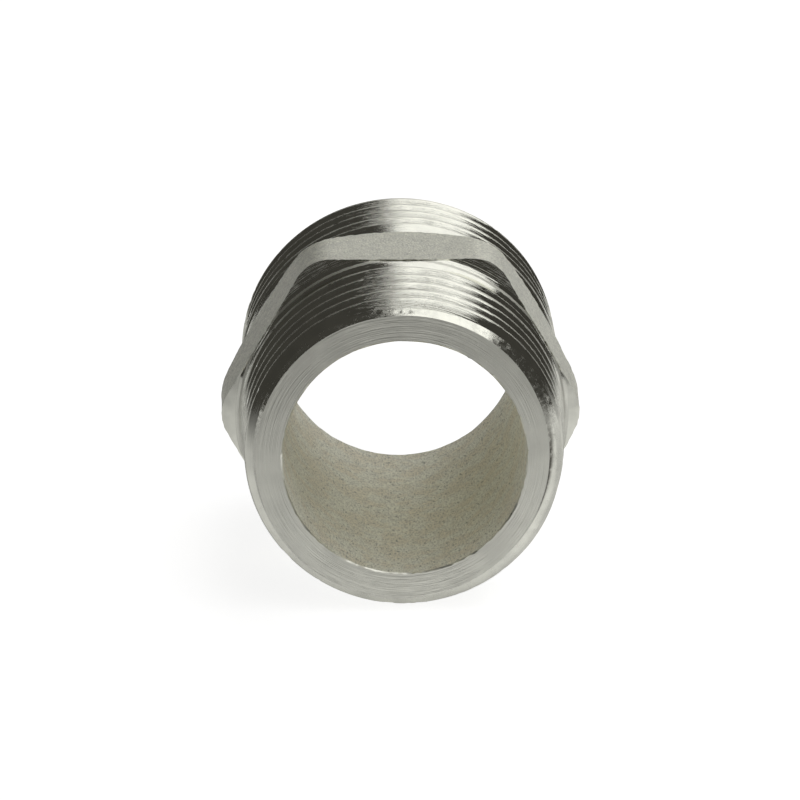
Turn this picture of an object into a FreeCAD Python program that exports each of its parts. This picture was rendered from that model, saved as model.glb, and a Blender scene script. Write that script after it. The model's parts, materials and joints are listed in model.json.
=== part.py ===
"""Hexagon pipe nipple, 1 inch: one steel casting with a hexagon in the middle and a taper pipe
thread on each end. It lies on a flat of its hexagon, with its bore along Y."""

import FreeCAD, Part
import math
import os

import Sketcher

NODE = "hex_nipple"

# Driving dimensions, in millimetres, degrees and turns
SIZES = {
    "overall_length": 38.0,
    "bore_wall": 2.6455,
    "hex_rise": 0.0755,
    "hex_thickness": 9.3,
    "hex_corner_radius": 4.2,
    "hex_back_angle": 54.5,
    "neck_relief": 0.3245,
    "neck_ramp": 0.9,
    "front_neck_length": 2.35,
    "rear_neck_length": 3.15,
    "thread_pitch": 2.309,
    "thread_depth": 1.479,
    "thread_root_width": 0.385,
    "thread_overcut": 0.2,
    "thread_turns": 5,
    "flank_angle": 27.5,
    "taper_angle": 1.78991,
    "gauge_diameter": 33.249,
    "gauge_length": 10.4,
    "chamfer_length": 1.6,
    "chamfer_angle": 33.0,
    "runout_angle": 26.0,
}
HALF_LENGTH = "sizes.overall_length / 2"
GAUGE_RADIUS = "sizes.gauge_diameter / 2"
NECK_RADIUS = f"({GAUGE_RADIUS} - sizes.neck_relief)"
HEX_APOTHEM = f"({GAUGE_RADIUS} + sizes.hex_rise)"
BORE_DIAMETER = f"2 * ({GAUGE_RADIUS} - sizes.thread_depth - sizes.bore_wall)"


def crest_place(end):
    """How far from the hexagon's middle the first crest's top is, as an expression."""
    return f"(sizes.hex_thickness / 2 + sizes.{end}_neck_length)"


def crest_radius(distance):
    """The thread crest's radius at a distance from the free end, as an expression."""
    return f"({GAUGE_RADIUS} - (sizes.gauge_length - ({distance})) * tan(sizes.taper_angle * 1 deg))"


def back_place(radius):
    """How far behind the hexagon's middle its turned back is at a radius, as an expression."""
    slope = "tan(sizes.hex_back_angle * 1 deg)"
    return f"(sizes.hex_thickness / 2 + ({HEX_APOTHEM} - ({radius})) * {slope})"


def make_sheet(doc):
    """The driving dimensions, as a sheet whose aliases the expressions use."""
    sheet = doc.addObject("Spreadsheet::Sheet", "sizes")
    for row, (alias, value) in enumerate(SIZES.items(), start=1):
        sheet.set(f"A{row}", alias)
        sheet.set(f"B{row}", str(value))
        sheet.setAlias(f"B{row}", alias)
    doc.recompute()
    return sheet


def new_sketch(body, name, role):
    """An empty sketch on one of the body's own planes."""
    sketch = body.newObject("Sketcher::SketchObject", name)
    plane = next(p for p in body.Origin.OriginFeatures if p.Role == role)
    sketch.AttachmentSupport = [(plane, "")]
    sketch.MapMode = "FlatFace"
    return sketch


def draw_outline(sketch, corners):
    """A closed outline through corners, each a name and its two distances as expressions."""
    count = len(corners)
    rough = [
        FreeCAD.Vector(math.cos(2 * math.pi * i / count), math.sin(2 * math.pi * i / count), 0)
        for i in range(count)
    ]
    for i in range(count):
        sketch.addGeometry(Part.LineSegment(rough[i], rough[(i + 1) % count]))
    for i in range(count):
        sketch.addConstraint(Sketcher.Constraint("Coincident", i, 2, (i + 1) % count, 1))
    for i, (name, across, along) in enumerate(corners):
        for kind, suffix, expression, value in (
            ("DistanceX", "u", across, rough[i].x),
            ("DistanceY", "v", along, rough[i].y),
        ):
            number = sketch.addConstraint(Sketcher.Constraint(kind, -1, 1, i, 1, value))
            sketch.renameConstraint(number, f"{name}_{suffix}")
            sketch.setExpression(f"Constraints.{name}_{suffix}", expression)


def make_shank(body):
    """The turned blank: two tapered ends with chamfered mouths, and a neck beside the hexagon."""
    sketch = new_sketch(body, "shank_profile", "XY_Plane")
    chamfer_radius = crest_radius("sizes.chamfer_length")
    face_radius = f"{chamfer_radius} - sizes.chamfer_length * tan(sizes.chamfer_angle * 1 deg)"
    halves = []
    for end, sign in (("front", "-"), ("rear", "")):
        crest = crest_place(end)
        halves.append(
            [
                (f"{end}_axis", "0", f"{sign}({HALF_LENGTH})"),
                (f"{end}_face", face_radius, f"{sign}({HALF_LENGTH})"),
                (f"{end}_chamfer", chamfer_radius, f"{sign}({HALF_LENGTH} - sizes.chamfer_length)"),
                (f"{end}_crest", crest_radius(f"{HALF_LENGTH} - {crest}"), sign + crest),
                (f"{end}_neck", NECK_RADIUS, f"{sign}({crest} - sizes.neck_ramp)"),
            ]
        )
    draw_outline(sketch, halves[0] + halves[1][::-1])
    shank = body.newObject("PartDesign::Revolution", "shank")
    shank.Profile = sketch
    shank.ReferenceAxis = (sketch, ["V_Axis"])
    shank.Angle = 360


def make_hexagon(body):
    """The hexagon, with a flat on top and its corners rounded. Its front is square to the bore and
    its back is turned to a cone, which takes more off the corners than off the flats."""
    sketch = new_sketch(body, "hexagon_outline", "XZ_Plane")
    side = f"(2 * {HEX_APOTHEM} / sqrt(3))"
    flat = HEX_APOTHEM
    draw_outline(
        sketch,
        [
            ("right", side, "0"),
            ("top_right", f"{side} / 2", flat),
            ("top_left", f"-{side} / 2", flat),
            ("left", f"-{side}", "0"),
            ("bottom_left", f"-{side} / 2", f"-{flat}"),
            ("bottom_right", f"{side} / 2", f"-{flat}"),
        ],
    )
    hexagon = body.newObject("PartDesign::Pad", "hexagon")
    hexagon.Profile = sketch
    hexagon.SideType = "Two sides"
    hexagon.setExpression("Length", "sizes.hex_thickness / 2")
    hexagon.setExpression("Length2", back_place(f"{NECK_RADIUS} - sizes.neck_relief"))
    body.Document.recompute()

    box = hexagon.Shape.BoundBox
    corners = body.newObject("PartDesign::Fillet", "hexagon_corners")
    along = [
        f"Edge{i}"
        for i, edge in enumerate(hexagon.Shape.Edges, start=1)
        if math.isclose(edge.BoundBox.YLength, box.YLength, abs_tol=1e-4)
    ]
    corners.Base = (hexagon, along)
    corners.setExpression("Radius", "sizes.hex_corner_radius")
    body.Document.recompute()

    profile = new_sketch(body, "hexagon_back_profile", "XY_Plane")
    inner = f"({NECK_RADIUS} - 2 * sizes.neck_relief)"
    draw_outline(
        profile,
        [
            ("inner", inner, back_place(inner)),
            ("outer", side, back_place(side)),
            ("far", side, back_place(inner)),
        ],
    )
    back = body.newObject("PartDesign::Groove", "hexagon_back")
    back.Profile = profile
    back.ReferenceAxis = (profile, ["V_Axis"])
    back.Angle = 360


def make_groove(doc, end, turn):
    """One turn of a thread's groove as a solid. Turn 0 runs out to the neck and the others, at
    full depth, follow it towards the free end."""
    body = doc.addObject("PartDesign::Body", f"{end}_groove_{turn}")
    sketch = new_sketch(body, f"{end}_groove_profile_{turn}", "YZ_Plane")
    middle = f"({crest_place(end)} + (0.5 + {turn}) * sizes.thread_pitch)"
    crest = crest_radius(f"{HALF_LENGTH} - {middle}")
    root = f"({crest} - sizes.thread_depth)"
    top = f"({crest} + sizes.thread_overcut)"
    half_root = "sizes.thread_root_width / 2"
    rise = "(sizes.thread_depth + sizes.thread_overcut) * tan(sizes.flank_angle * 1 deg)"
    half_top = f"({half_root} + {rise})"
    sign = "-" if end == "front" else ""
    draw_outline(
        sketch,
        [
            ("outer_top", f"{sign}({middle} + {half_top})", top),
            ("outer_root", f"{sign}({middle} + {half_root})", root),
            ("inner_root", f"{sign}({middle} - {half_root})", root),
            ("inner_top", f"{sign}({middle} - {half_top})", top),
        ],
    )
    groove = body.newObject("PartDesign::AdditiveHelix", f"{end}_groove_sweep_{turn}")
    groove.Profile = sketch
    groove.ReferenceAxis = (sketch, ["H_Axis"])
    groove.Mode = "pitch-turns-angle"
    groove.Turns = 1
    groove.LeftHanded = False
    groove.Reversed = end == "rear"
    groove.setExpression("Pitch", "sizes.thread_pitch")
    angle = "sizes.taper_angle" if turn else "sizes.runout_angle"
    groove.setExpression("Angle", angle + " * 1 deg")
    return body


def cut_threads(doc, blank):
    """The blank with a right-hand thread on each end, cut a turn at a time."""
    piece = blank
    for end in ("front", "rear"):
        for turn in range(int(doc.getObject("sizes").thread_turns), -1, -1):
            cut = doc.addObject("Part::Cut", f"{end}_cut_{turn}")
            cut.Base = piece
            cut.Tool = make_groove(doc, end, turn)
            doc.recompute()
            piece = cut
    return piece


def make_bore(body):
    """The plain bore, from end to end."""
    sketch = new_sketch(body, "bore_outline", "XZ_Plane")
    sketch.addGeometry(Part.Circle(FreeCAD.Vector(0, 0, 0), FreeCAD.Vector(0, 0, 1), 1))
    sketch.addConstraint(Sketcher.Constraint("Coincident", 0, 3, -1, 1))
    number = sketch.addConstraint(Sketcher.Constraint("Diameter", 0, 2))
    sketch.renameConstraint(number, "bore_diameter")
    sketch.setExpression("Constraints.bore_diameter", BORE_DIAMETER)
    bore = body.newObject("PartDesign::Pocket", "bore")
    bore.Profile = sketch
    bore.SideType = "Symmetric"
    bore.setExpression("Length", "sizes.overall_length + sizes.thread_pitch")


def check(doc):
    """Stops if any object failed, or is left without a sound shape."""
    for item in doc.Objects:
        if {"Invalid", "Error"} & set(item.State):
            raise RuntimeError(f"{item.Name} failed: {item.State}")
        shape = getattr(item, "Shape", None)
        if shape is not None and (shape.isNull() or not shape.isValid()):
            raise RuntimeError(f"{item.Name} has no sound shape")


def main():
    os.makedirs("parts", exist_ok=True)
    doc = FreeCAD.newDocument("pipe_nipple")
    make_sheet(doc)
    body = doc.addObject("PartDesign::Body", "blank")
    make_hexagon(body)
    doc.recompute()
    make_shank(body)
    doc.recompute()
    make_bore(body)
    doc.recompute()
    piece = cut_threads(doc, body)
    piece.Label = NODE
    check(doc)
    piece.Shape.exportStep(f"parts/{piece.Label}.step")


main()
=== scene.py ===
"""Look of the hexagon pipe nipple: its turned threads and end faces, cast hexagon and cast bore."""

import json
import math

import bpy
from mathutils import Matrix, Vector, noise


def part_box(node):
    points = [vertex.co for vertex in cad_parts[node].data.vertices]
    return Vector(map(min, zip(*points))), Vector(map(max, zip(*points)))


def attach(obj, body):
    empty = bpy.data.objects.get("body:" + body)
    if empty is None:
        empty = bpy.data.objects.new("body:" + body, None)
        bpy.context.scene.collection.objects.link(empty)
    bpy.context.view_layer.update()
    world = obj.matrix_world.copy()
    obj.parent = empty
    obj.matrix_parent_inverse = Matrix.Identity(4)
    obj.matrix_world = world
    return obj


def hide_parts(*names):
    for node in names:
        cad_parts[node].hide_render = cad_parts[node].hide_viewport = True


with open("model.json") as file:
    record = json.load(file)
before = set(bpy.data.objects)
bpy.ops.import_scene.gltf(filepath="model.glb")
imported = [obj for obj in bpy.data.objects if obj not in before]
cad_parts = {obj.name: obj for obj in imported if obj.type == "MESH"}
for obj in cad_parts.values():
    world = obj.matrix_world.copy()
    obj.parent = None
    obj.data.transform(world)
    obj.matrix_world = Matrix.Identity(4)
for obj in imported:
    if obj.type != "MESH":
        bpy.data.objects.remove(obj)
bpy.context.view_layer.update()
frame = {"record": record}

MM = 0.001
NODE = "hex_nipple"

# Sizes from the frame
LOW, HIGH = (Vector(corner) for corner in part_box(NODE))
HALF_LENGTH = HIGH.y
APOTHEM = HIGH.z
BORE_RADIUS = next(
    m["dims"]["r_mm"] for m in frame["record"]["mounts"] if m["name"] == "bore"
) * MM

# The 1 inch taper pipe thread
PITCH = 2.309 * MM
DEPTH = 1.479 * MM
ROUNDING = 0.317 * MM
FLANK_ANGLE = math.radians(27.5)
TAPER = math.tan(math.radians(1.78991))
GAUGE_RADIUS = 33.249 / 2 * MM
GAUGE_LENGTH = 10.4 * MM
CHAMFER_LENGTH = 1.6 * MM
CHAMFER_SLOPE = math.tan(math.radians(33))
RUNOUT_SLOPE = math.tan(math.radians(26)) - TAPER
CREST_PLACES = {-1: 7.0 * MM, 1: 7.8 * MM}
NECK_RELIEF = 0.3245 * MM
NECK_RAMP = 0.9 * MM

# The hexagon: nearly square in front, with its corners sloped back, and a cone at the back
HEX_HALF = 4.65 * MM
HEX_CORNER_RADIUS = 4.2 * MM
HEX_BACK_SLOPE = math.tan(math.radians(54.5))
NECK_RADIUS = GAUGE_RADIUS - NECK_RELIEF
BACK_END = HEX_HALF + (APOTHEM - NECK_RADIUS) * HEX_BACK_SLOPE
FILLET_RADIUS = 1.65 * MM
FILLET_LENGTH = 1.5 * MM
FILLET_MARGIN = 0.16 * MM
FRONT_SLOPE_START = 0.95 * MM
FRONT_SLOPE = math.tan(math.radians(11))
WORN_START = 0.9
WORN_DEPTH = 1.2 * MM

# Unevenness of the cast skin: the width of its lumps, and their depth
BORE_LUMP_WIDTH = 1.4 * MM
BORE_LUMP_DEPTH = 0.04 * MM
BORE_WAVE_WIDTH = 5 * MM
BORE_WAVE_DEPTH = 0.06 * MM
HEX_WAVE_WIDTH = 3.5 * MM
HEX_WAVE_DEPTH = 0.05 * MM
HEX_GRAIN_WIDTH = 0.7 * MM
HEX_GRAIN_DEPTH = 0.04 * MM
HEX_BURR_WIDTH = 0.45 * MM
HEX_BURR_DEPTH = 0.08 * MM
HEX_BURR_FALL = 12
HEX_LIP_WIDTH = 0.6 * MM
HEX_LIP_DEPTH = 0.06 * MM
HEX_LIP_SHARE = 0.01

# The narrow edge round the bore's mouths
MOUTH_DEPTH = 0.14 * MM
MOUTH_WIDTH = 0.11 * MM
MOUTH_LEAST_WIDTH = 0.02 * MM
MOUTH_LUMP_WIDTH = 0.6 * MM
MOUTH_LUMP_DEPTH = 0.14 * MM

# Nicks in the crests, and notches in the front chamfer
NICK_WIDTH = 0.7 * MM
NICK_THRESHOLD = 0.3
NICK_DEPTH = 0.25 * MM
CREST_BAND = 0.05 * MM
NOTCH_LENGTH = 1.3 * MM
NOTCH_DEPTH = 0.08 * MM
NOTCH_STEPS = (-71, -69, -67, -65)

# How finely the pieces are divided
TURN_STEPS = 320
CREST_STEPS = 3
FLANK_STEPS = 3
BORE_STEPS = 240
BORE_CUTS = 44
HEX_CUTS = 28
SMOOTH_ANGLE = math.radians(28)

# Margins for cutting, merging and finding places
SPARE_AT_HEXAGON = 0.3 * MM
SPARE_AT_END = 0.1 * MM
RIDGE_MERGE = 0.001 * MM
TURN_MERGE = 0.002 * MM
CUT_MERGE = 0.0001 * MM
PLANE_MARGIN = 0.005 * MM
END_MARGIN = 0.01 * MM
BORE_MARGIN = 0.3 * MM
OUTWARD_LIMIT = 0.4

# The floor and the lamps, in metres
FLOOR_SIZE = 4
FLOOR_FRONT = 0.32
LAMP_HEIGHT = 0.35
LAMP_RADIANCE = 1.25


def only(piece):
    """Selects one piece and nothing else."""
    bpy.ops.object.select_all(action="DESELECT")
    piece.select_set(True)
    bpy.context.view_layer.objects.active = piece


def clear_edges(piece):
    """Makes a piece the only one selected, with none of its edges selected."""
    only(piece)
    bpy.ops.object.mode_set(mode="EDIT")
    bpy.ops.mesh.select_mode(type="EDGE")
    bpy.ops.mesh.select_all(action="DESELECT")
    bpy.ops.object.mode_set(mode="OBJECT")


def pick_edges(piece, wanted):
    """Goes to edit mode with the edges selected whose two ends pass a test."""
    clear_edges(piece)
    places = [vertex.co for vertex in piece.data.vertices]
    for edge in piece.data.edges:
        edge.select = wanted(places[edge.vertices[0]], places[edge.vertices[1]])
    bpy.ops.object.mode_set(mode="EDIT")


def radius_of(place):
    """A place's distance from the bore's axis."""
    return math.hypot(place.x, place.z)


def set_radius(place, radius):
    """Moves a place to a distance from the bore's axis."""
    scale = radius / radius_of(place)
    place.x *= scale
    place.z *= scale


def ridge_steps():
    """One ridge's section from crest to crest, as (along, depth) points."""
    swing = math.pi / 2 - FLANK_ANGLE
    crest = [
        (
            ROUNDING * math.sin(swing * i / CREST_STEPS),
            ROUNDING * (1 - math.cos(swing * i / CREST_STEPS)),
        )
        for i in range(CREST_STEPS + 1)
    ]
    root = [(PITCH / 2 - along, DEPTH - depth) for along, depth in reversed(crest)]
    (x0, d0), (x1, d1) = crest[-1], root[0]
    flank = [
        (x0 + (x1 - x0) * k / FLANK_STEPS, d0 + (d1 - d0) * k / FLANK_STEPS)
        for k in range(1, FLANK_STEPS)
    ]
    half = crest + flank + root
    return half + [(PITCH - along, depth) for along, depth in reversed(half[:-1])]


def crest_radius(along):
    """The taper's radius over the crests, at a distance from the hexagon's middle."""
    return GAUGE_RADIUS - (GAUGE_LENGTH - (HALF_LENGTH - along)) * TAPER


def envelope(along, end):
    """The blank's radius before its thread is cut, at a distance from the hexagon's middle."""
    crest = crest_radius(along)
    to_end = HALF_LENGTH - along
    if to_end < CHAMFER_LENGTH:
        crest -= (CHAMFER_LENGTH - to_end) * CHAMFER_SLOPE
    down = min(max((CREST_PLACES[end] - along) / NECK_RAMP, 0), 1)
    return crest + (NECK_RADIUS - crest) * down


def hexagon_radius(angle):
    """The hexagon's outline with its rounded corners, at an angle from its top flat's middle."""
    turn = math.pi / 3
    angle = abs((angle + turn / 2) % turn - turn / 2)
    centre = (APOTHEM - HEX_CORNER_RADIUS) / math.cos(turn / 2)
    rounded = math.atan2(HEX_CORNER_RADIUS / 2, centre + HEX_CORNER_RADIUS * math.cos(turn / 2))
    off = turn / 2 - angle
    if off > rounded:
        return APOTHEM / math.cos(angle)
    across = centre * math.sin(off)
    return centre * math.cos(off) + math.sqrt(HEX_CORNER_RADIUS**2 - across**2)


def worn_corner(angle):
    """How much is worn off the hexagon's right corner, at an angle from its top flat's middle."""
    across = hexagon_radius(angle) * math.sin(angle)
    return max(0, across / APOTHEM - WORN_START) * WORN_DEPTH


def front_fillet(place):
    """How far the fillet beside the hexagon's front stands out from the neck at a place."""
    reach = min(max(HEX_HALF + FILLET_LENGTH + place.y, 0), FILLET_LENGTH)
    rise = FILLET_RADIUS - math.sqrt(FILLET_RADIUS**2 - reach**2)
    angle = math.atan2(place.x, place.z)
    edge = hexagon_radius(angle) - worn_corner(angle) - FILLET_MARGIN
    return min(rise, edge - NECK_RADIUS)


def make_shank(end):
    """One threaded end, from its free end to the hexagon; end is -1 in front and 1 at the rear."""
    crest_place = CREST_PLACES[end]
    side = BACK_END if end > 0 else HEX_HALF
    low, high = sorted((end * (side - SPARE_AT_HEXAGON), end * (HALF_LENGTH + SPARE_AT_END)))
    first = end * crest_place + PITCH / 4
    first -= math.ceil((first + PITCH - low) / PITCH) * PITCH
    ridges = math.ceil((high - first) / PITCH)

    bpy.ops.object.select_all(action="DESELECT")
    bpy.ops.mesh.primitive_plane_add(size=MM)
    shank = bpy.context.object
    bpy.ops.object.mode_set(mode="EDIT")
    bpy.ops.mesh.merge(type="CENTER")
    bpy.ops.transform.translate(value=(GAUGE_RADIUS, first, 0))
    steps = ridge_steps()
    for (x0, d0), (x1, d1) in zip(steps, steps[1:]):
        bpy.ops.mesh.extrude_vertices_move(
            TRANSFORM_OT_translate={"value": (d0 - d1, x1 - x0, 0)}
        )
    bpy.ops.object.mode_set(mode="OBJECT")

    array = shank.modifiers.new("ridges", "ARRAY")
    array.count = ridges
    array.use_relative_offset = False
    array.use_constant_offset = True
    array.constant_offset_displace = (0, PITCH, 0)
    array.use_merge_vertices = True
    array.merge_threshold = RIDGE_MERGE
    bpy.ops.object.modifier_apply(modifier=array.name)
    screw = shank.modifiers.new("turn", "SCREW")
    screw.axis = "Y"
    screw.screw_offset = PITCH
    screw.steps = TURN_STEPS
    screw.render_steps = TURN_STEPS
    bpy.ops.object.modifier_apply(modifier=screw.name)
    bpy.ops.object.mode_set(mode="EDIT")
    bpy.ops.mesh.select_all(action="SELECT")
    bpy.ops.mesh.remove_doubles(threshold=TURN_MERGE)
    bpy.ops.object.mode_set(mode="OBJECT")

    start = crest_place + PITCH / 2
    for vertex in shank.data.vertices:
        place = vertex.co
        depth = GAUGE_RADIUS - radius_of(place)
        along = end * place.y
        turn = (-end * math.atan2(place.x, place.z) / (2 * math.pi)) % 1
        turns = turn + round((start - along) / PITCH - turn)
        rise = max(turns, 0) * PITCH * RUNOUT_SLOPE
        nick = max(noise.noise(place / NICK_WIDTH) - NICK_THRESHOLD, 0) * NICK_DEPTH
        if depth > CREST_BAND or along < crest_place:
            nick = 0
        radius = min(envelope(along, end) - nick, crest_radius(along) - depth + rise)
        if end < 0 and along < HEX_HALF + FILLET_LENGTH:
            radius = NECK_RADIUS + front_fillet(place)
        if end < 0 and HALF_LENGTH - along < NOTCH_LENGTH:
            step = round(math.atan2(place.x, place.z) / (2 * math.pi) * TURN_STEPS)
            if step in NOTCH_STEPS:
                radius -= NOTCH_DEPTH
        set_radius(place, radius)

    for plane, outward in ((end * HALF_LENGTH, end), (end * side, -end)):
        bpy.ops.object.mode_set(mode="EDIT")
        bpy.ops.mesh.select_all(action="SELECT")
        bpy.ops.mesh.bisect(
            plane_co=(0, plane, 0),
            plane_no=(0, outward, 0),
            clear_outer=True,
            threshold=CUT_MERGE,
        )
        bpy.ops.object.mode_set(mode="OBJECT")
    return shank


def add_tube(radius, half, steps, cuts):
    """An open tube along the bore, from minus to plus a half length, cut into rings."""
    bpy.ops.object.select_all(action="DESELECT")
    bpy.ops.mesh.primitive_cylinder_add(
        vertices=steps,
        radius=radius,
        depth=2 * half,
        end_fill_type="NOTHING",
        rotation=(math.pi / 2, 0, 0),
    )
    tube = bpy.context.object
    bpy.ops.object.transform_apply(location=False, rotation=True, scale=False)
    pick_edges(tube, lambda a, b: abs(a.y - b.y) > half)
    bpy.ops.mesh.subdivide(number_cuts=cuts)
    bpy.ops.object.mode_set(mode="OBJECT")
    return tube


def make_bore():
    """The bore's wall, left as it was cast, with a narrow uneven edge at each mouth."""
    bore = add_tube(BORE_RADIUS, HALF_LENGTH, BORE_STEPS, BORE_CUTS)
    ring = 2 * HALF_LENGTH / (BORE_CUTS + 1)
    for vertex in bore.data.vertices:
        place = vertex.co
        lumps = noise.noise(place / BORE_LUMP_WIDTH) * BORE_LUMP_DEPTH
        lumps += noise.noise(place / BORE_WAVE_WIDTH) * BORE_WAVE_DEPTH
        mouth = 0
        if abs(place.y) > HALF_LENGTH - END_MARGIN:
            mouth = MOUTH_WIDTH + MOUTH_LUMP_DEPTH * noise.noise(place / MOUTH_LUMP_WIDTH)
            mouth = max(MOUTH_LEAST_WIDTH, mouth)
        elif abs(place.y) > HALF_LENGTH - 1.2 * ring:
            place.y = math.copysign(HALF_LENGTH - MOUTH_DEPTH, place.y)
        set_radius(place, BORE_RADIUS + lumps + mouth)
    return bore


def make_hexagon():
    """The hexagon's cast outside: flats, rounded corners and an uneven rim."""
    hexagon = add_tube(APOTHEM, HEX_HALF, TURN_STEPS, HEX_CUTS)
    for vertex in hexagon.data.vertices:
        place = vertex.co
        angle = math.atan2(place.x, place.z)
        radius = hexagon_radius(angle)
        set_radius(place, radius)
        back = HEX_HALF + (APOTHEM - radius) * HEX_BACK_SLOPE
        front = max(0, radius - NECK_RADIUS - FRONT_SLOPE_START) * FRONT_SLOPE - HEX_HALF
        share = (place.y + HEX_HALF) / (2 * HEX_HALF)
        place.y = front + share * (back - front)
        wave = 0.5 + 0.5 * noise.noise(place / HEX_WAVE_WIDTH)
        grain = 0.5 + 0.5 * noise.noise(place / HEX_GRAIN_WIDTH)
        rim = max(0, 1 - min(share, 1 - share) * HEX_BURR_FALL)
        burr = rim * noise.noise(place / HEX_BURR_WIDTH)
        loss = HEX_WAVE_DEPTH * wave + HEX_GRAIN_DEPTH * grain + HEX_BURR_DEPTH * burr
        set_radius(place, radius - worn_corner(angle) - max(0, loss))
        if share < HEX_LIP_SHARE:
            place.y -= max(0, noise.noise(place / HEX_LIP_WIDTH)) * HEX_LIP_DEPTH
    return hexagon


def face_outwards(piece, inside=False):
    """Turns a piece's faces outwards, or inwards for the wall of a hole."""
    only(piece)
    bpy.ops.object.mode_set(mode="EDIT")
    bpy.ops.mesh.select_all(action="SELECT")
    bpy.ops.mesh.normals_make_consistent(inside=inside)
    bpy.ops.object.mode_set(mode="OBJECT")


def pick_open_edges(piece, wanted):
    """Goes to edit mode with the open edges selected whose two ends pass a test."""
    clear_edges(piece)
    uses = {}
    for face in piece.data.polygons:
        for key in face.edge_keys:
            uses[key] = uses.get(key, 0) + 1
    places = [vertex.co for vertex in piece.data.vertices]
    for edge in piece.data.edges:
        near = all(wanted(places[v]) for v in edge.vertices)
        edge.select = near and uses.get(tuple(sorted(edge.vertices)), 0) == 1
    bpy.ops.object.mode_set(mode="EDIT")


def fill_flat(piece, plane):
    """Fills the flat ring between the two open edges at a distance along the bore."""
    pick_open_edges(piece, lambda place: abs(place.y - plane) < PLANE_MARGIN)
    bpy.ops.mesh.fill(use_beauty=False)
    bpy.ops.object.mode_set(mode="OBJECT")


def make_nipple():
    """The whole casting as one closed shell."""
    parts = [make_shank(-1), make_shank(1), make_hexagon(), make_bore()]
    for part in parts:
        face_outwards(part, inside=part == parts[-1])
    bpy.ops.object.select_all(action="DESELECT")
    for part in parts:
        part.select_set(True)
    bpy.context.view_layer.objects.active = parts[0]
    bpy.ops.object.join()
    nipple = bpy.context.object
    nipple.name = "nipple"
    nipple.data.name = "nipple"
    for plane in (-HALF_LENGTH, HALF_LENGTH):
        fill_flat(nipple, plane)
    for end in (-1, 1):
        pick_open_edges(nipple, lambda place: 0 < place.y * end < HALF_LENGTH / 2)
        bpy.ops.mesh.bridge_edge_loops()
        bpy.ops.object.mode_set(mode="OBJECT")
    face_outwards(nipple)
    bpy.ops.object.shade_smooth_by_angle(angle=SMOOTH_ANGLE)
    for plane in (-HALF_LENGTH, -HEX_HALF, HALF_LENGTH):
        pick_edges(nipple, lambda a, b: max(abs(a.y - plane), abs(b.y - plane)) < PLANE_MARGIN)
        bpy.ops.mesh.mark_sharp()
        bpy.ops.object.mode_set(mode="OBJECT")
    return nipple


nipple = make_nipple()
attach(nipple, "root")
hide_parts(NODE)


class Level:
    """A number in a material that varies over the surface; sums on it add Math nodes."""

    def __init__(self, material, socket):
        self.material = material
        self.socket = socket

    def _math(self, operation, *values):
        node = self.material.add("ShaderNodeMath", {"operation": operation}, dict(enumerate(values)))
        return Level(self.material, node.outputs[0])

    def __add__(self, other):
        return self._math("ADD", self, other)

    def __radd__(self, other):
        return self._math("ADD", other, self)

    def __sub__(self, other):
        return self._math("SUBTRACT", self, other)

    def __rsub__(self, other):
        return self._math("SUBTRACT", other, self)

    def __mul__(self, other):
        return self._math("MULTIPLY", self, other)

    def __rmul__(self, other):
        return self._math("MULTIPLY", other, self)

    def __pow__(self, other):
        return self._math("POWER", self, other)

    def __abs__(self):
        return self._math("ABSOLUTE", self)

    def between(self, low, high):
        """0 up to low, 1 from high, and a smooth step between them."""
        node = self.material.add(
            "ShaderNodeMapRange",
            {"interpolation_type": "SMOOTHSTEP"},
            {"Value": self, "From Min": low, "From Max": high},
        )
        return Level(self.material, node.outputs["Result"])


class Finish:
    """A material on the object's own coordinates, in millimetres."""

    def __init__(self, name):
        self.material = bpy.data.materials.new(name)
        self.material.use_nodes = True
        self.tree = self.material.node_tree
        self.shader = self.tree.nodes["Principled BSDF"]
        place = self.add("ShaderNodeTexCoord", {}, {}).outputs["Object"]
        scaled = self.add(
            "ShaderNodeVectorMath", {"operation": "SCALE"}, {0: place, "Scale": 1 / MM}
        )
        self.place = scaled.outputs[0]
        parts = self.add("ShaderNodeSeparateXYZ", {}, {0: self.place})
        self.x, self.y, self.z = (Level(self, parts.outputs[i]) for i in range(3))
        self.radius = (self.x * self.x + self.z * self.z) ** 0.5

    def give(self, socket, value):
        """Gives a socket a value, or a link from a level or another node's socket."""
        if isinstance(value, Level):
            value = value.socket
        if isinstance(value, bpy.types.NodeSocket):
            self.tree.links.new(value, socket)
        else:
            socket.default_value = value

    def add(self, kind, settings, inputs):
        """A node of that type, with its settings and its sockets' values or links."""
        node = self.tree.nodes.new(kind)
        for key, value in settings.items():
            setattr(node, key, value)
        for key, value in inputs.items():
            self.give(node.inputs[key], value)
        return node

    def vector(self, x, y, z):
        """A vector from three levels or numbers."""
        return self.add("ShaderNodeCombineXYZ", {}, {0: x, 1: y, 2: z}).outputs[0]

    def noise(self, place, scale, detail=3, roughness=0.5):
        """Noise from 0 to 1 at a place."""
        node = self.add(
            "ShaderNodeTexNoise",
            {},
            {"Vector": place, "Scale": scale, "Detail": detail, "Roughness": roughness},
        )
        return Level(self, node.outputs["Fac"])

    def mix(self, amount, first, second):
        """A colour between two colours, which are the node's inputs 6 and 7."""
        node = self.add(
            "ShaderNodeMix",
            {"data_type": "RGBA"},
            {0: amount, 6: first, 7: second},
        )
        return node.outputs[2]

    def bump(self, height, distance):
        """A normal from a height, with the height of 1 given in millimetres."""
        node = self.add(
            "ShaderNodeBump",
            {},
            {"Height": height, "Distance": distance * MM, "Strength": 1},
        )
        return node.outputs["Normal"]

    def set(self, **inputs):
        """Sets or links the shader's sockets; an underline stands for a space."""
        for key, value in inputs.items():
            self.give(self.shader.inputs[key.replace("_", " ")], value)


def grey(level, warmth=0.0):
    """The steel's slightly yellow grey, warmer where asked."""
    return (level * (1 + warmth), level, level * (0.9 - warmth), 1)


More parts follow.
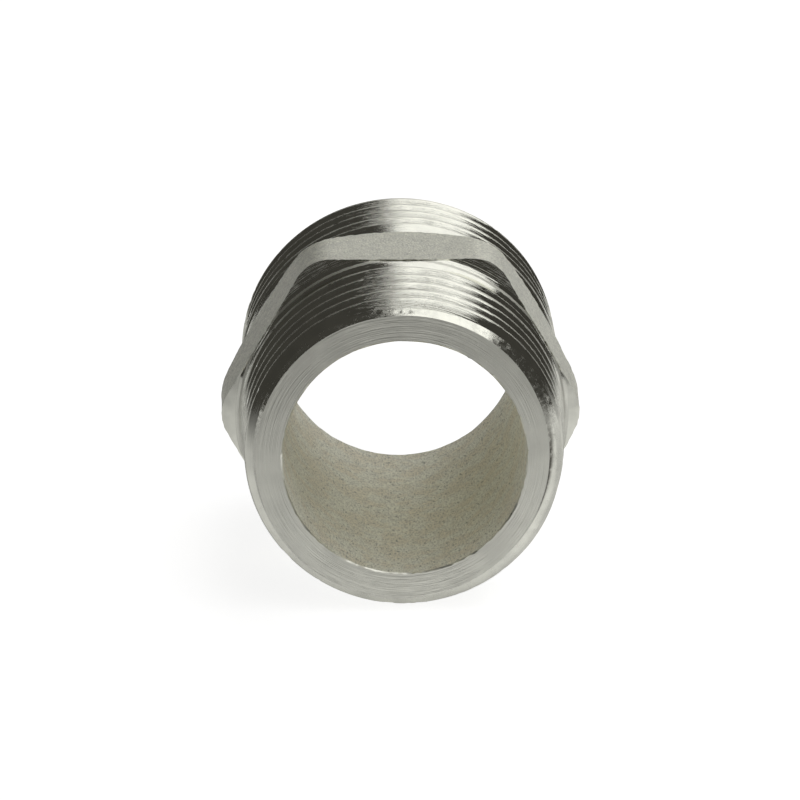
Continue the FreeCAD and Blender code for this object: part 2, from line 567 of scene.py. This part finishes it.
def turned_steel():
    """Threads, necks, chamfers and the hexagon's sides: bright, with fine lathe lines. The crests
    and patches of the chamfers are dull. Round the lower right of the front chamfer, beside the end
    face, a dark band is painted shade, as of a crease."""
    finish = Finish("turned steel")
    around = finish.vector(finish.x * 0.08, finish.y * 9 + finish.radius * 5, finish.z * 0.08)
    lines = finish.noise(around, 1, 4, 0.6)
    stains = finish.noise(finish.place, 0.4, 3)
    nicks = finish.noise(finish.place, 1.6, 4, 0.7)
    to_end = HALF_LENGTH / MM - abs(finish.y)
    crest = GAUGE_RADIUS / MM - (GAUGE_LENGTH / MM - to_end) * TAPER
    depth = crest - finish.radius + nicks * 0.12
    dull = depth.between(-0.1, -0.05) - depth.between(0.09, 0.14)
    chamfer = 1 - to_end.between(CHAMFER_LENGTH / MM - 0.1, CHAMFER_LENGTH / MM + 0.1)
    scraped = chamfer * nicks.between(0.35, 0.75)
    mouth = 1 - finish.radius.between(BORE_RADIUS / MM + 0.25, BORE_RADIUS / MM + 0.35)
    lower_right = finish.x.between(0, 3) * (1 - finish.z.between(0, 6))
    # Painted shade: a dark band round the lower right of the front chamfer, next to the end face, as
    # if a crease lay in shade there.
    crease_shade = (1 - to_end.between(0.14, 0.36)) * (1 - finish.y.between(-1, 1)) * lower_right
    crease_shade = crease_shade * (1 - mouth)
    steel = finish.mix(stains.between(0.35, 0.7), grey(0.76), grey(0.66))
    finish.set(
        Base_Color=finish.mix(crease_shade * nicks.between(0.25, 0.5), steel, grey(0.1, 0.05)),
        Metallic=1.0,
        Roughness=0.04 + lines * 0.07 + dull * 0.42 + scraped * 0.3 + mouth * 0.2,
        Normal=finish.bump(lines, 0.022),
    )
    return finish.material


def turned_face():
    """The flat rings at the two ends, with fine rings left by the tool."""
    finish = Finish("turned face")
    around = finish.vector(finish.radius * 8, finish.x * 0.1, finish.z * 0.1)
    rings = finish.noise(around, 1, 3, 0.7)
    stains = finish.noise(finish.place, 0.3, 3)
    finish.set(
        Base_Color=finish.mix(stains.between(0.3, 0.7), grey(0.7), grey(0.62)),
        Metallic=1.0,
        Roughness=0.24 + rings * 0.12,
        Normal=finish.bump(rings, 0.06),
    )
    return finish.material


def cast_steel():
    """The hexagon's outside: matte, with the mould's fine grain, and scattered bright points that
    are painted glints.
    """
    finish = Finish("cast steel")
    grain = finish.noise(finish.place, 4.5, 2, 0.6)
    lumps = finish.noise(finish.place, 1.3, 3)
    # Painted glints: scattered points of the skin given the brightest grey.
    glint_specks = finish.noise(finish.place, 3.1, 1).between(0.68, 0.74)
    tone = grain * 0.7 + lumps * 0.3
    skin = finish.mix(tone.between(0.32, 0.68), grey(0.63), grey(0.92))
    finish.set(
        Base_Color=finish.mix(glint_specks, skin, grey(1.0)),
        Metallic=1.0,
        Roughness=0.65 + lumps * 0.1,
        Normal=finish.bump(tone, 0.12),
    )
    return finish.material


def cast_bore():
    """The bore's wall: rough as cast, speckled with dark pits."""
    finish = Finish("cast bore")
    along = finish.vector(finish.x, finish.y * 0.45, finish.z)
    grain = finish.noise(along, 5.5, 2, 0.6)
    pits = finish.noise(along, 3.4, 2).between(0.3, 0.37)
    patches = finish.noise(finish.place, 0.4, 3)
    tone = grain * 0.7 + pits * 0.3
    skin = finish.mix(patches.between(0.4, 0.62), grey(1.0), grey(0.92, 0.04))
    finish.set(
        Base_Color=finish.mix(tone.between(0.35, 0.8), grey(0.5, 0.01), skin),
        Metallic=0.5,
        Roughness=0.8,
        Normal=finish.bump(tone, 0.1),
    )
    return finish.material


def finish_of(face):
    """The finish of a face of the casting, by its place and by how it lies."""
    place = face.center
    radius = radius_of(place)
    back = HEX_HALF + (APOTHEM - radius) * HEX_BACK_SLOPE
    faces_out = abs(face.normal.y) < OUTWARD_LIMIT
    if abs(place.y) > HALF_LENGTH - END_MARGIN:
        return turned_face
    if radius < BORE_RADIUS + BORE_MARGIN and abs(place.y) < HALF_LENGTH - MOUTH_DEPTH:
        return cast_bore
    if -HEX_HALF < place.y < back and faces_out and radius > NECK_RADIUS:
        return cast_steel
    return turned_steel


def dress(piece):
    """Gives each face of the casting its finish."""
    finishes = (turned_steel, turned_face, cast_steel, cast_bore)
    piece.data.materials.clear()
    for finish in finishes:
        piece.data.materials.append(finish())
    for face in piece.data.polygons:
        face.material_index = finishes.index(finish_of(face))


def make_floor():
    """A pale floor that keeps the part's shadow. It ends a little way in front, as a table does.
    It glows too, though it is no lamp. To the camera it glows evenly bright. Glossy rays see painted
    light: a painted reflection lighter in front, behind and to the right and darker to the sides,
    with a painted shadow under the part. All other rays see a plain grey glow. The floor's own
    coordinates start at its middle, so its bands are given from the part's place on it."""
    middle = FLOOR_SIZE / 2 - FLOOR_FRONT
    part = -middle / MM
    bpy.ops.object.select_all(action="DESELECT")
    bpy.ops.mesh.primitive_plane_add(size=FLOOR_SIZE, location=(0, middle, LOW.z))
    floor = bpy.context.object
    floor.name = "floor"
    paint = Finish("floor")
    rays = paint.add("ShaderNodeLightPath", {}, {})
    # Painted light for the steel to mirror: bands lighter close in front, to the right and behind,
    # darker to either side, and a painted shadow under the part.
    nearby = paint.y.between(part - 110, part - 20)
    painted_shadow_under = paint.y.between(part - 23, part - 15)
    right_side = paint.x.between(-40, 40)
    beside = abs(paint.x).between(18, 32)
    behind = paint.y.between(part + 15, part + 80)
    level = 0.12 + nearby * 0.44 - painted_shadow_under * 0.24 + right_side * 0.09 - beside * 0.09
    level = level + behind * 0.35
    # Glossy rays see these painted bands. Other rays but the camera's see a plain grey glow, which
    # lights the part though the floor is no lamp.
    painted_sheen = paint.mix(level, (0, 0, 0, 1), (1, 1, 1, 1))
    painted_reflection = paint.mix(rays.outputs["Is Glossy Ray"], (0.5, 0.5, 0.5, 1), painted_sheen)
    glow = paint.mix(rays.outputs["Is Camera Ray"], painted_reflection, (0.85, 0.85, 0.85, 1))
    paint.set(
        Base_Color=(0.5, 0.5, 0.5, 1),
        Roughness=0.9,
        Specular_IOR_Level=0.0,
        Emission_Color=glow,
        Emission_Strength=1.0,
    )
    floor.data.materials.append(paint.material)


def overhead_lamp(name, left, right, near, far):
    """A rectangular lamp that shines straight down between those places."""
    width, length = right - left, far - near
    data = bpy.data.lights.new(name, "AREA")
    data.shape = "RECTANGLE"
    data.size = width
    data.size_y = length
    data.energy = LAMP_RADIANCE * math.pi * width * length
    lamp = bpy.data.objects.new(name, data)
    lamp.location = ((left + right) / 2, (near + far) / 2, LAMP_HEIGHT)
    bpy.context.collection.objects.link(lamp)


def make_lights():
    """Softboxes in a row overhead, wider towards the back, in a dim room that the camera alone
    sees as white."""
    overhead_lamp("overhead front left", 0.0, 0.11, -0.6, -0.25)
    overhead_lamp("overhead front right", 0.135, 0.3, -0.6, -0.25)
    overhead_lamp("overhead", -0.012, 0.37, -0.25, 0.8)
    overhead_lamp("overhead behind", -0.01, 0.46, 0.8, 2.2)
    world = bpy.data.worlds.new("room")
    world.use_nodes = True
    nodes = world.node_tree.nodes
    links = world.node_tree.links
    dim = nodes["Background"]
    dim.inputs["Color"].default_value = (0.052, 0.05, 0.045, 1)
    white = nodes.new("ShaderNodeBackground")
    white.inputs["Color"].default_value = (1, 1, 1, 1)
    rays = nodes.new("ShaderNodeLightPath")
    both = nodes.new("ShaderNodeMixShader")
    links.new(rays.outputs["Is Camera Ray"], both.inputs[0])
    links.new(dim.outputs[0], both.inputs[1])
    links.new(white.outputs[0], both.inputs[2])
    links.new(both.outputs[0], nodes["World Output"].inputs["Surface"])
    bpy.context.scene.world = world


def make_camera():
    """The photograph's view: a long lens, a little above the part, square to its near end."""
    azimuth = math.radians(-0.96)
    elevation = math.radians(18.455)
    roll = math.radians(-0.09)
    distance = 1515 * MM
    focal_pixels = 14641
    image_pixels = 800
    shift = (0.129 * MM, 0.124 * MM)
    back = Vector(
        (
            math.sin(azimuth) * math.cos(elevation),
            -math.cos(azimuth) * math.cos(elevation),
            math.sin(elevation),
        )
    )
    right = Vector((math.cos(azimuth), math.sin(azimuth), 0))
    up = back.cross(right)
    right, up = (
        right * math.cos(roll) + up * math.sin(roll),
        up * math.cos(roll) - right * math.sin(roll),
    )
    data = bpy.data.cameras.new("camera")
    data.sensor_width = 36
    data.lens = focal_pixels / image_pixels * data.sensor_width
    data.clip_start = 0.1
    data.clip_end = 50
    camera = bpy.data.objects.new("camera", data)
    place = back * distance - right * shift[0] - up * shift[1]
    turn = Matrix((right, up, back)).transposed().to_4x4()
    camera.matrix_world = Matrix.Translation(place) @ turn
    bpy.context.collection.objects.link(camera)
    bpy.context.scene.camera = camera


dress(nipple)
make_floor()
make_lights()
make_camera()
bpy.context.scene.view_settings.view_transform = "Standard"
